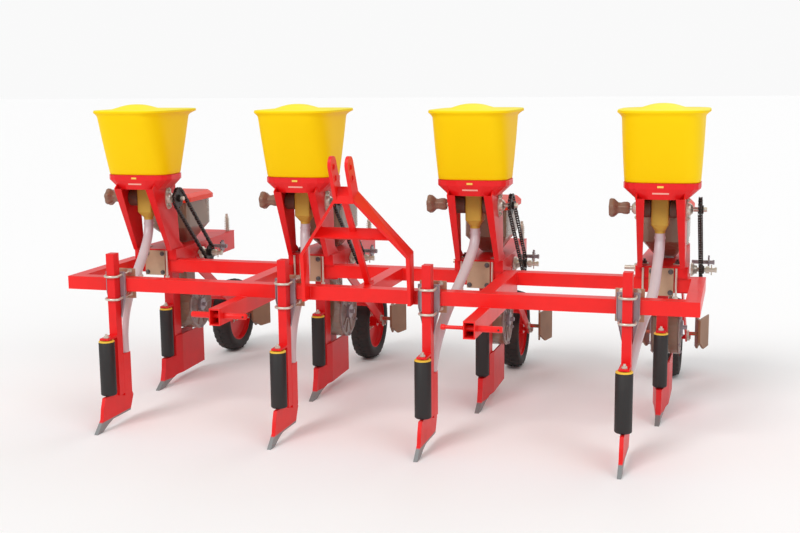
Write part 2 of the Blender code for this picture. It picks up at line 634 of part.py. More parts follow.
def wheel_arm():
    """Swing fork from the counter shaft down to the axle, with the two folded coverers."""
    pivot = Vector((ARM_PIVOT_Y, ARM_PIVOT_Z))
    axle = Vector((AXLE_Y, WHEEL_RADIUS))
    along = (axle - pivot).normalized()
    heading = atan2(along.y, along.x)
    bar = []
    for centre, first in ((pivot, pi / 2), (axle, -pi / 2)):
        for step in range(5):
            angle = heading + first + pi * step / 4
            bar.append((centre.x + FORK_EYE * cos(angle), centre.y + FORK_EYE * sin(angle)))
    fork = [side_plate(bar, FORK_INNER, FORK_OUTER), side_plate(bar, -FORK_OUTER, -FORK_INNER)]
    pivot_tube = rod((-FORK_OUTER + 0.001, pivot.x, pivot.y), (FORK_OUTER - 0.001, pivot.x, pivot.y),
                     0.014, 16)
    tie_at = pivot + along * ((axle - pivot).length - 0.225)
    tie = rod((-FORK_OUTER + 0.001, tie_at.x, tie_at.y), (FORK_OUTER - 0.001, tie_at.x, tie_at.y), 0.012, 12)
    stub = rod((-0.095, pivot.x, pivot.y), (0.095, pivot.x, pivot.y), 0.010, ROUND)
    axle_bar = rod((-0.080, axle.x, axle.y), (0.080, axle.x, axle.y), AXLE_RADIUS, 16)
    pieces = fork + [pivot_tube, tie, stub, axle_bar]
    lug = axle - along * 0.044
    for side in (-1, 1):
        pieces.append(rod((side * (FORK_INNER + 0.001), *lug), (side * 0.121, *lug), 0.008, 12))
        plan = [(side * 0.123, lug.x - 0.014), (side * 0.154, lug.x + 0.124), (side * 0.148, lug.x + 0.126),
                (side * 0.119, lug.x + 0.012), (side * 0.102, lug.x + 0.100), (side * 0.096, lug.x + 0.098),
                (side * 0.114, lug.x - 0.014)]
        pieces.append(flat_plate(plan, 0.120, 0.258))
    chamfer = side_plate([(AXLE_Y - 0.06, 0.110), (AXLE_Y - 0.06, 0.165), (AXLE_Y + 0.03, 0.110)], -0.2, 0.2)
    return fuse(pieces, [chamfer])


def drive_wheel():
    """Ground wheel: tyre, dished rim and hub turned as one."""
    bore = AXLE_RADIUS + 0.0005
    half = WHEEL_HALF
    side = [(-0.040, bore), (-0.040, 0.026), (-0.008, 0.030), (-0.008, 0.118), (-half, 0.144),
            (-half + 0.003, 0.163), (-0.022, WHEEL_RADIUS)]
    profile = side + [(-along, radius) for along, radius in reversed(side)]
    return turned(profile, (0.0, AXLE_Y, WHEEL_RADIUS), "X", 20, closed=True)


# --------------------------------------------------------------------- build
def build():
    clear_scene()
    parts = bpy.data.collections.new("corn_planter")
    bpy.context.scene.collection.children.link(parts)

    red = paint("red_paint", (0.72, 0.012, 0.018), 0.35)
    hitch_red = paint("hitch_red", (0.70, 0.012, 0.020), 0.38)
    pin_red = paint("pin_red", (0.70, 0.020, 0.030), 0.40)
    row_red = paint("row_red", (0.66, 0.010, 0.015), 0.38)
    shank_red = paint("shank_red", (0.74, 0.015, 0.018), 0.36)
    shoe_red = paint("shoe_red", (0.60, 0.010, 0.014), 0.42)
    fork_red = paint("fork_red", (0.60, 0.012, 0.014), 0.42)
    yellow = paint("hopper_yellow", (0.95, 0.62, 0.0), 0.38)
    lid_yellow = paint("lid_yellow", (0.96, 0.72, 0.02), 0.35)
    cream = paint("meter_cream", (0.60, 0.36, 0.06), 0.50)
    steel = paint("shaft_steel", (0.30, 0.24, 0.20), 0.45, 0.6)
    clear_hose = paint("hose_pvc", (0.58, 0.44, 0.44), 0.35)
    rubber = paint("roller_rubber", (0.02, 0.015, 0.014), 0.75)
    clear_box = paint("seed_plastic", (0.42, 0.26, 0.20), 0.30)
    lid_orange = paint("seed_lid_orange", (0.85, 0.045, 0.010), 0.36)
    tyre = paint("tyre_rubber", (0.03, 0.022, 0.020), 0.80)

    place("main_frame", main_frame(), red, parts)
    place("hitch_mast", hitch_mast(), hitch_red, parts)
    place("lower_pin_left", lower_pin(False), pin_red, parts, shift=-CROSS_BAR_X)
    place("lower_pin_right", lower_pin(True), pin_red, parts, shift=CROSS_BAR_X)

    lid_hinge = (0.0, HOPPER_RIM_Y + HOPPER_RIM[1], HOPPER_RIM_Z)
    seed_hinge = (0.0, SEED_Y + SEED_HALF[1] + 0.015, SEED_TOP_Z)
    pieces = [
        ("fert_hopper", fert_hopper(), yellow, (0.0, FEED_Y, HOPPER_BASE_Z)),
        ("hopper_lid", hopper_lid(), lid_yellow, lid_hinge),
        ("fert_meter", fert_meter(), cream, (0.0, FEED_Y, FEED_Z)),
        ("feed_shaft", feed_shaft(), steel, (0.0, FEED_Y, FEED_Z)),
        ("unit_frame", unit_frame(), row_red, (0.0, DECK_FRONT_Y, DECK_TOP)),
        ("seed_box", seed_box(), clear_box, (0.0, SEED_Y, DECK_TOP)),
        ("seed_lid", seed_lid(), lid_orange, seed_hinge),
        ("seed_opener", seed_opener(), shoe_red, (0.0, 0.556, DECK_TOP)),
        ("seed_roller", roller(SEED_ROLLER_RADIUS, SEED_ROLLER_Y), rubber, (0.0, SEED_ROLLER_Y, ROLLER_Z[0])),
        ("wheel_arm", wheel_arm(), fork_red, (0.0, ARM_PIVOT_Y, ARM_PIVOT_Z)),
        ("drive_wheel", drive_wheel(), tyre, (0.0, AXLE_Y, WHEEL_RADIUS)),
    ]
    inboard_pieces = [
        ("fert_opener", fert_opener(), shank_red, (0.0, -0.0455, BEAM_TOP)),
        ("fert_roller", roller(FERT_ROLLER_RADIUS, FERT_ROLLER_Y), rubber, (0.0, FERT_ROLLER_Y, ROLLER_Z[0])),
    ]
    for row in range(ROW_COUNT):
        row_x = ROW_CENTRE + (row - (ROW_COUNT - 1) / 2) * ROW_PITCH
        side = 1 if row_x < 0 else -1
        label = f"_{row + 1}"
        for name, mesh, material, origin in pieces:
            place(name + label, mesh, material, parts, origin, row_x)
        for name, mesh, material, origin in inboard_pieces:
            place(name + label, mesh, material, parts, origin, row_x + side * OPENER_SHIFT)
        hose = fert_hose(side, HOSE_BEND[row])
        place("fert_hose" + label, hose, clear_hose, parts, (METER_X, FEED_Y, SPOUT_Z), row_x)


build()
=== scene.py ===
"""Looks, fittings and camera for the four-row corn planter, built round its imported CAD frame.

Dimensions are metres. Fittings are laid out in the machine's own layout: X from the middle of the toolbar,
Y from the front face of the front beam, Z from the floor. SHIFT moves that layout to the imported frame.
A row's fittings are laid out from the row's own X, and piece() moves them there.
"""
from math import atan2, cos, pi, radians, sin, sqrt

import bpy
from mathutils import Matrix, Vector


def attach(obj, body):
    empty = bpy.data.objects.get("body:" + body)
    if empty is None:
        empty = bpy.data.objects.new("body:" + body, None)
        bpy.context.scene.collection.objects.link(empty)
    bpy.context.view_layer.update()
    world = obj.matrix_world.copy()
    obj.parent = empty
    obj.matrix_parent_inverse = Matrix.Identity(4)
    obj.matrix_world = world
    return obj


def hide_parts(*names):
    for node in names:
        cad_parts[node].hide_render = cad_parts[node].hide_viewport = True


SHIFT = Vector((0.026, -0.568, 0.0))
ROWS = [-0.012 + 0.686 * (row - 1.5) for row in range(4)]
OPENER_SHIFT = 0.075                   # a fertilizer opener stands this far inwards of its row

BEAM_TOP, BEAM_LOW = 0.555, 0.505
CROSS_BAR_ENDS = 0.0500, 0.4600        # back of the front beam, front of the rear beam
CROSS_BAR_X = 0.453
END_BAR_WELD_X = 1.1245
MAST_FOOT_X, MAST_TOP_X = 0.195, 0.030
TOP_LINK_HOLES = (-0.1695, 0.962), (-0.1874, 1.000)
PIN_INNER, PIN_OUTER, PIN_Y, PIN_Z = 0.349, 0.557, -0.205, 0.476

FEED_Y, FEED_Z = 0.420, 0.815          # feed shaft
LOW_Y, LOW_Z = 0.690, 0.553            # counter shaft under the chain
CHAIN_X = 0.133
SHAFT_RADIUS = 0.0085
HOPPER_SQUARENESS = 3.8                # power of the rounded outline
SPOUT_X = -0.006

ROLLER_LOW, ROLLER_HIGH, ROLLER_BORE = 0.1265, 0.3365, 0.0063
DRUM_Y, DRUM_Z, DRUM_RADIUS = 0.737, 0.314, 0.105
WHEEL_Y, WHEEL_Z, WHEEL_RADIUS, TYRE_HALF = 1.210, 0.172, 0.172, 0.0425
COVERER_X, COVERER_Y = 0.0935, 0.59    # the fork's faces beyond both are its coverers

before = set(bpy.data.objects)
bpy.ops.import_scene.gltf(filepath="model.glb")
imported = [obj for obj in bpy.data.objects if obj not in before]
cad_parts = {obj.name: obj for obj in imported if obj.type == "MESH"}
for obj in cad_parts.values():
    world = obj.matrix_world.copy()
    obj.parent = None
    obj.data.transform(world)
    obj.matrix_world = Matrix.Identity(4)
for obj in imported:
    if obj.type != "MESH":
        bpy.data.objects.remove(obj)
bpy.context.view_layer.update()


# ------------------------------------------------------------------ materials
def surface(name, colour, roughness, metallic=0.0, coat=0.0, grime=0.0, dirt=(0.10, 0.07, 0.05),
            grain=18.0, bump=0.0, alpha=1.0, specular=0.5, spread=0.08):
    """Principled material whose colour and gloss wander a little, with grime in patches."""
    material = bpy.data.materials.new(name)
    material.use_nodes = True
    tree = material.node_tree
    nodes, links = tree.nodes, tree.links
    shader = nodes["Principled BSDF"]
    where = nodes.new("ShaderNodeTexCoord")
    large = nodes.new("ShaderNodeTexNoise")
    large.inputs["Scale"].default_value = grain
    large.inputs["Detail"].default_value = 4.0
    links.new(where.outputs["Object"], large.inputs["Vector"])
    shade = nodes.new("ShaderNodeMix")
    shade.data_type = "RGBA"
    dim = [channel * (1.0 - 2.0 * spread) for channel in colour]
    shade.inputs["A"].default_value = (*dim, 1.0)
    shade.inputs["B"].default_value = (*[min(1.0, c * (1.0 + spread)) for c in colour], 1.0)
    links.new(large.outputs["Fac"], shade.inputs["Factor"])
    fine = nodes.new("ShaderNodeTexNoise")
    fine.inputs["Scale"].default_value = grain * 0.45
    fine.inputs["Detail"].default_value = 8.0
    links.new(where.outputs["Object"], fine.inputs["Vector"])
    patch = nodes.new("ShaderNodeMapRange")
    patch.inputs["From Min"].default_value = 0.56
    patch.inputs["From Max"].default_value = 0.80
    patch.inputs["To Max"].default_value = grime
    links.new(fine.outputs["Fac"], patch.inputs["Value"])
    soiled = nodes.new("ShaderNodeMix")
    soiled.data_type = "RGBA"
    soiled.inputs["B"].default_value = (*dirt, 1.0)
    links.new(patch.outputs["Result"], soiled.inputs["Factor"])
    links.new(shade.outputs["Result"], soiled.inputs["A"])
    links.new(soiled.outputs["Result"], shader.inputs["Base Color"])
    gloss = nodes.new("ShaderNodeMapRange")
    gloss.inputs["To Min"].default_value = max(0.03, roughness - 0.06)
    gloss.inputs["To Max"].default_value = min(1.0, roughness + 0.08)
    links.new(fine.outputs["Fac"], gloss.inputs["Value"])
    links.new(gloss.outputs["Result"], shader.inputs["Roughness"])
    shader.inputs["Metallic"].default_value = metallic
    shader.inputs["Coat Weight"].default_value = coat
    shader.inputs["Coat Roughness"].default_value = 0.12
    shader.inputs["Alpha"].default_value = alpha
    shader.inputs["Specular IOR Level"].default_value = specular
    if bump:
        relief = nodes.new("ShaderNodeBump")
        relief.inputs["Strength"].default_value = bump
        relief.inputs["Distance"].default_value = 0.001
        links.new(large.outputs["Fac"], relief.inputs["Height"])
        links.new(relief.outputs["Normal"], shader.inputs["Normal"])
    material.diffuse_color = (*colour, alpha)
    return material


def below(material, height, colour, blend=0.004):
    """Bare worn steel under a given height, for a soil-engaging point."""
    tree = material.node_tree
    nodes, links = tree.nodes, tree.links
    shader = nodes["Principled BSDF"]
    where = nodes.new("ShaderNodeTexCoord")
    split = nodes.new("ShaderNodeSeparateXYZ")
    links.new(where.outputs["Object"], split.inputs["Vector"])
    mask = nodes.new("ShaderNodeMapRange")
    mask.inputs["From Min"].default_value = height + blend
    mask.inputs["From Max"].default_value = height
    links.new(split.outputs["Z"], mask.inputs["Value"])
    painted = shader.inputs["Base Color"].links[0].from_socket
    mix = nodes.new("ShaderNodeMix")
    mix.data_type = "RGBA"
    mix.inputs["B"].default_value = (*colour, 1.0)
    links.new(mask.outputs["Result"], mix.inputs["Factor"])
    links.new(painted, mix.inputs["A"])
    links.new(mix.outputs["Result"], shader.inputs["Base Color"])
    metal = nodes.new("ShaderNodeMath")
    metal.operation = "MULTIPLY"
    metal.inputs[1].default_value = 0.55
    links.new(mask.outputs["Result"], metal.inputs[0])
    links.new(metal.outputs["Value"], shader.inputs["Metallic"])
    return material


BARE_STEEL = (0.27, 0.28, 0.28)
RED_PAINT = dict(specular=0.30, coat=0.10)
MATERIALS = {
    "red": surface("red_enamel", (0.86, 0.010, 0.008), 0.36, coat=0.12, grime=0.10, specular=0.30,
                   spread=0.06),
    "row_red": surface("row_enamel", (0.78, 0.006, 0.008), 0.38, grime=0.16, spread=0.07, **RED_PAINT),
    "yellow": surface("hopper_yellow", (1.00, 0.66, 0.0), 0.50, specular=0.12, spread=0.02, grain=6.0),
    "crown": surface("lid_yellow", (1.00, 0.84, 0.02), 0.46, specular=0.15, spread=0.02, grain=6.0),
    "cream": surface("meter_cream", (0.60, 0.37, 0.060), 0.52, grime=0.20, specular=0.2, spread=0.07),
    "brown": surface("housing_brown", (0.16, 0.075, 0.050), 0.55, grime=0.35, bump=0.15, grain=40.0),
    "knob": surface("knob_brown", (0.27, 0.150, 0.100), 0.45, metallic=0.15, grime=0.25, bump=0.12,
                    grain=45.0),
    "zinc": surface("zinc_plate", (0.68, 0.63, 0.54), 0.30, metallic=0.55, grime=0.20, grain=30.0),
    "steel": surface("dark_steel", (0.13, 0.12, 0.12), 0.34, metallic=0.7, grime=0.3, grain=50.0),
    "tan": surface("zinc_tan", (0.50, 0.34, 0.22), 0.42, metallic=0.35, grime=0.25, grain=26.0),
    "grey": surface("clamp_grey", (0.36, 0.31, 0.34), 0.40, metallic=0.45, grime=0.25, grain=26.0),
    "chain": surface("oiled_chain", (0.045, 0.035, 0.032), 0.38, metallic=0.6, grime=0.35, grain=60.0),
    "hose": surface("hose_pvc", (0.62, 0.52, 0.54), 0.34, coat=0.2, grime=0.06, spread=0.05, grain=14.0),
    "rubber": surface("roller_rubber", (0.014, 0.011, 0.011), 0.55, grime=0.30, dirt=(0.05, 0.04, 0.035),
                      bump=0.25),
    "cap": surface("cap_yellow", (0.86, 0.55, 0.045), 0.40, grime=0.15),
    "clear": surface("seed_plastic", (0.34, 0.235, 0.16), 0.26, coat=0.3, grime=0.35,
                     dirt=(0.15, 0.10, 0.07), alpha=0.76, spread=0.14, grain=9.0),
    "drum": surface("drum_plastic", (0.30, 0.215, 0.19), 0.34, coat=0.2, grime=0.35,
                    dirt=(0.12, 0.08, 0.06), alpha=0.90, spread=0.14, grain=14.0),
    "orange": surface("seed_lid_orange", (0.95, 0.040, 0.004), 0.40, grime=0.05, spread=0.05, **RED_PAINT),
    "tyre": surface("tyre_rubber", (0.020, 0.014, 0.013), 0.70, grime=0.55, dirt=(0.09, 0.05, 0.035),
                    bump=0.4),
    "plate": surface("coverer_brown", (0.30, 0.14, 0.07), 0.50, metallic=0.2, grime=0.35, grain=22.0),
    "yellow_tag": surface("tag_yellow", (0.90, 0.62, 0.10), 0.5),
    # pale pink that paints a highlight on the hopper stand's red front
    "pink_highlight": surface("painted_highlight_pale", (0.90, 0.42, 0.34), 0.5),
}
POINT_RED = below(surface("point_enamel", (0.80, 0.007, 0.008), 0.38, grime=0.18, spread=0.07, **RED_PAINT),
                  0.034, BARE_STEEL)
SHOE_RED = below(surface("shoe_enamel", (0.68, 0.006, 0.010), 0.42, grime=0.22, spread=0.08, **RED_PAINT),
                 0.028, BARE_STEEL)


# --------------------------------------------------------------- solid makers
class Solid:
    """Collects vertices and faces for one piece."""

    def __init__(self):
        self.verts = []
        self.faces = []

    def add(self, verts, faces):
        start = len(self.verts)
        self.verts += [Vector(v) for v in verts]
        self.faces += [tuple(i + start for i in face) for face in faces]
        return self

    def rings(self, rings, caps=True, closed=False):
        """Skin a row of outlines; closed joins the last to the first."""
        count = len(rings[0])
        verts = [point for ring in rings for point in ring]
        pairs = [(i, i + 1) for i in range(len(rings) - 1)]
        if closed:
            pairs.append((len(rings) - 1, 0))
        faces = []
        for low, high in pairs:
            for i in range(count):
                j = (i + 1) % count
                faces.append((low * count + i, low * count + j, high * count + j, high * count + i))
        if caps and not closed:
            faces.append(tuple(range(count - 1, -1, -1)))
            last = (len(rings) - 1) * count
            faces.append(tuple(last + i for i in range(count)))
        return self.add(verts, faces)

    def block(self, x0, x1, y0, y1, z0, z1):
        corners = ((x0, y0), (x1, y0), (x1, y1), (x0, y1))
        return self.rings([[(x, y, z) for x, y in corners] for z in (z0, z1)])

    def plate(self, outline, axis, low, high):
        """Outline in the plane square to axis: (Y, Z) for X, (X, Z) for Y, (X, Y) for Z."""
        def point(a, b, level):
            return {"X": (level, a, b), "Y": (a, level, b), "Z": (a, b, level)}[axis]
        return self.rings([[point(a, b, level) for a, b in outline] for level in (low, high)])

    def bar(self, start, end, radius, sides=16, end_radius=None):
        """Round bar between two points."""
        last = radius if end_radius is None else end_radius
        return self.lathe([(0.0, radius), (1.0, last)], start, end, sides)

    def lathe(self, profile, start, end, sides=32, closed=False, lobes=0, depth=0.0):
        """Turn (share of the way, radius) about the line from start to end; lobes flute it."""
        start, end = Vector(start), Vector(end)
        along = (end - start).normalized()
        side = along.orthogonal().normalized()
        other = along.cross(side)
        rings = []
        for share, radius in profile:
            centre = start.lerp(end, share)
            ring = []
            for i in range(sides):
                angle = 2 * pi * i / sides
                reach = radius * (1.0 - depth * (0.5 - 0.5 * cos(lobes * angle)) if lobes else 1.0)
                ring.append(centre + reach * (cos(angle) * side + sin(angle) * other))
            rings.append(ring)
        return self.rings(rings, caps=not closed, closed=closed)

    def tube(self, path, radius, sides=12, closed=False):
        """Round section swept along a path of points."""
        path = [Vector(p) for p in path]
        count = len(path)
        normal = None
        rings = []
        for i, point in enumerate(path):
            if closed:
                ahead = (path[(i + 1) % count] - path[i - 1]).normalized()
            else:
                ahead = (path[min(i + 1, count - 1)] - path[max(i - 1, 0)]).normalized()
            if normal is None:
                normal = ahead.orthogonal().normalized()
            normal = (normal - ahead * normal.dot(ahead)).normalized()
            other = ahead.cross(normal)
            size = radius[i] if isinstance(radius, list) else radius
            rings.append([point + size * (cos(2 * pi * k / sides) * normal + sin(2 * pi * k / sides) * other)
                          for k in range(sides)])
        return self.rings(rings, closed=closed)

    def hexagon(self, centre, axis, across, height):
        """Hexagon head or nut standing on centre along axis, with a domed shank end."""
        centre, axis = Vector(centre), Vector(axis).normalized()
        top = centre + axis * height
        self.lathe([(0.0, across * 0.577), (0.86, across * 0.577), (1.0, across * 0.50)], centre, top, 6)
        return self

    def bolt(self, centre, axis, thread=0.006, standing=0.006):
        """Washer, nut and a stub of thread."""
        centre, axis = Vector(centre), Vector(axis).normalized()
        self.bar(centre, centre + axis * 0.0018, thread * 1.9, 20)
        self.hexagon(centre + axis * 0.0018, axis, thread * 2.9, thread * 0.95)
        self.bar(centre + axis * 0.002, centre + axis * (0.0018 + thread * 0.95 + standing), thread * 0.82, 12)
        return self


def piece(name, solid, material, body, x=0.0, smooth=34.0, bevel=0.0, replaces=()):
    """Turn a Solid into a shown piece that rides on a body."""
    mesh = bpy.data.meshes.new(name)
    offset = SHIFT + Vector((x, 0.0, 0.0))
    mesh.from_pydata([tuple(v + offset) for v in solid.verts], [], solid.faces)
    mesh.validate()
    mesh.update()
    obj = bpy.data.objects.new(name, mesh)
    bpy.context.scene.collection.objects.link(obj)
    mesh.materials.append(MATERIALS[material])
    mesh.shade_smooth()
    mesh.set_sharp_from_angle(angle=radians(smooth))
    if bevel:
        soften = obj.modifiers.new("soften", "BEVEL")
        soften.width = bevel
        soften.segments = 2
        soften.limit_method = "ANGLE"
        soften.angle_limit = radians(38)
    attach(obj, body)
    if replaces:
        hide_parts(*replaces)
    return obj


def dress(node, material, edge=0.0016):
    """Give a CAD node its finish and soften its edges; its own mesh stays as packed."""
    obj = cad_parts[node]
    obj.data.materials.clear()
    obj.data.materials.append(material)
    weld = obj.modifiers.new("weld", "WELD")
    weld.merge_threshold = 0.00001
    soften = obj.modifiers.new("soften", "BEVEL")
    soften.width = edge
    soften.segments = 2
    soften.limit_method = "ANGLE"
    soften.angle_limit = radians(32)
    soften.harden_normals = False
    return obj


def outline(half_x, half_y, centre_y, z, power, count=72, centre_x=0.0):
    ring = []
    for i in range(count):
        angle = 2 * pi * (i + 0.5) / count
        c, s = cos(angle), sin(angle)
        x = half_x * (abs(c) ** (2 / power)) * (1 if c > 0 else -1)
        y = half_y * (abs(s) ** (2 / power)) * (1 if s > 0 else -1)
        ring.append((centre_x + x, centre_y + y, z))
    return ring


def between(first, last, share):
    """Pair of numbers a share of the way from first to last."""
    return tuple(a + (b - a) * share for a, b in zip(first, last))


def ring_bar(solid, low, high, bore, radius, y, z, sides):
    """Plain ring along X between two levels."""
    solid.lathe([(0.0, bore), (0.0, radius), (1.0, radius), (1.0, bore)], (low, y, z), (high, y, z), sides,
                closed=True)


# ---------------------------------------------------------------- whole frame
def toolbar_and_mast():
    dress("main_frame", MATERIALS["red"], 0.0028)
    dress("hitch_mast", MATERIALS["red"], 0.0018)
    bushes = Solid()
    half, bore, radius = 0.0068, 0.0102, 0.0140
    for y, z in TOP_LINK_HOLES:
        for side in (-1, 1):
            x = side * MAST_TOP_X
            ring_bar(bushes, x - half, x + half, bore, radius, y, z, 28)
    piece("mast_bushes", bushes, "red", "frame")

    plain = [(0.0, 0.0090), (0.015, 0.0108), (0.985, 0.0108), (1.0, 0.0090)]
    stepped = [(0.0, 0.0085), (0.02, 0.0095), (0.06, 0.0095), (0.08, 0.0065), (0.35, 0.0065),
               (0.375, 0.0108), (0.985, 0.0108), (1.0, 0.0090)]
    for name, profile, low, high in (("left", plain, -PIN_OUTER, -PIN_INNER),
                                     ("right", stepped, PIN_INNER, PIN_OUTER)):
        pin = Solid().lathe(profile, (low, PIN_Y, PIN_Z), (high, PIN_Y, PIN_Z), 32)
        piece(f"lower_pin_{name}_finish", pin, "red", "frame",
              replaces=[f"lower_pin_{name}"])
    # dark steel rods through the pins paint the shade inside the lynch-pin holes
    holes = Solid()
    through = 0.0113
    for x in (-0.359, 0.545):
        holes.bar((x, PIN_Y - through, PIN_Z), (x, PIN_Y + through, PIN_Z), 0.0035, 12)
    piece("lynch_pin_hole_shade", holes, "chain", "frame")
    piece("frame_welds", frame_welds(), "red", "frame", smooth=60.0)


def frame_welds():
    """Beads where the cross bars, the end bars, the mast's feet and its brace meet the beams."""
    welds = Solid()
    low, high = BEAM_LOW + 0.003, BEAM_TOP - 0.003
    bar_side, foot_side, foot_y = 0.0255, 0.008, -0.0010
    brace_x, brace_front, brace_back, brace_z = 0.0110, 0.086, 0.128, 0.5560
    for bar_x in (-CROSS_BAR_X, 0.0, CROSS_BAR_X):
        for y in CROSS_BAR_ENDS:
            for side in (-1, 1):
                x = bar_x + side * bar_side
                weld_bead(welds, (x, y, low), (x, y, high))
    for side in (-1, 1):
        for y in CROSS_BAR_ENDS:
            weld_bead(welds, (side * END_BAR_WELD_X, y, low), (side * END_BAR_WELD_X, y, high))
        for step in (-foot_side, foot_side):
            x = side * MAST_FOOT_X + step
            weld_bead(welds, (x, foot_y, BEAM_TOP), (x, foot_y, BEAM_LOW + 0.004))
        weld_bead(welds, (side * brace_x, brace_front, brace_z), (side * brace_x, brace_back, brace_z))
    return welds


def weld_bead(solid, start, end, radius=0.0026):
    """Rippled fillet of weld metal between two points."""
    start, end = Vector(start), Vector(end)
    ripple = 0.0035
    count = max(4, int((end - start).length / ripple))
    path = [start.lerp(end, i / count) for i in range(count + 1)]
    sizes = [radius * (1.0 + 0.16 * sin(i * 2.4)) for i in range(count + 1)]
    solid.tube(path, sizes, 8)


# ------------------------------------------------------------ fertilizer side
def hopper_bin(label, x):
    """Flared bin with an out-turned lip, one closed skin that goes down inside to the outlet."""
    base, knee, rim = (0.134, 0.094), (0.143, 0.190), (0.160, 0.218)     # half width, half depth
    base_y, knee_y, rim_y = 0.398, 0.405, 0.424
    under, floor_z, knee_z, top = 0.9163, 0.921, 1.146, 1.1700
    wall, outlet = 0.004, 0.024

    def ring(half, centre, z, shrink=0.0):
        return outline(half[0] - shrink, half[1] - shrink, centre, z, HOPPER_SQUARENESS)

    def outlet_ring(z):
        return outline(outlet, outlet, FEED_Y, z, HOPPER_SQUARENESS, centre_x=SPOUT_X)

    shell = [ring(base, base_y, under, 0.005), ring(base, base_y, 0.9175, 0.002), ring(base, base_y, floor_z)]
    for step in range(1, 13):
        share = step / 12
        bulge = 0.0012 * sin(pi * share)
        shell.append(ring(between(base, knee, share), base_y + 0.007 * share, floor_z + 0.225 * share, -bulge))
    for share in (0.25, 0.5, 0.75, 0.92, 1.0):
        flare = share ** 1.7
        shell.append(ring(between(knee, rim, flare), knee_y + 0.019 * flare, knee_z + 0.0185 * share))
    shell += [ring(rim, rim_y, 1.1690), ring(rim, rim_y, top, 0.001), ring(rim, rim_y, top, 0.005),
              ring(knee, knee_y, knee_z, wall), ring(base, base_y, 0.9243, wall),
              outlet_ring(0.9203), outlet_ring(under)]
    piece("fert_hopper_shell" + label, Solid().rings(shell, closed=True), "yellow", "frame", x,
          50.0, replaces=["fert_hopper" + label])


def hopper_lid(label, x):
    """Flat lid with a raised crown towards the front."""
    seat, lid_y, crown_y, steps = 1.1703, 0.424, 0.345, 14

    def plate(half_x, half_y, lift=0.0):
        return outline(half_x, half_y, lid_y, seat + lift, HOPPER_SQUARENESS)

    def crown(scale, lift):
        return outline(0.112 * scale, 0.128 * scale, crown_y, seat + lift, 2.4)

    top = [plate(0.1472, 0.2052), plate(0.1590, 0.2170), plate(0.1594, 0.2174, 0.0018),
           plate(0.1580, 0.2160, 0.0036)]
    for i in range(steps):
        share = 1.0 - i / steps
        top.append(crown(share, 0.0042 + 0.0214 * (0.5 + 0.5 * cos(pi * share ** 1.25))))
    top.append(crown(0.03, 0.0257))
    piece("hopper_lid_dome" + label, Solid().rings(top), "crown", f"hopper_lid{label}", x,
          50.0, replaces=["hopper_lid" + label])


def stand_tag_and_highlight(label, x):
    """A plain tag on the front of the hopper stand, and below it, following its slope, a pale pink strip of
    painted highlight.
    """
    tag = Solid().block(-0.012, 0.010, 0.3008, 0.3018, 0.9005, 0.9075)
    piece("stand_tag" + label, tag, "yellow_tag", "frame", x)
    # the pale pink strip below the tag is a painted highlight along the stand's sloped front
    half, face, slope = 0.029, 0.3034, 0.21
    near, far = 0.0006, 0.0014
    corners = ((-half, near), (-half, far), (half, far), (half, near))
    highlight_strip = Solid().rings([[(across, face + (0.896 - z) * slope - lift, z) for across, lift in corners]
                          for z in (0.8775, 0.8830)])
    piece("stand_highlight_strip" + label, highlight_strip, "pink_highlight", "frame", x)


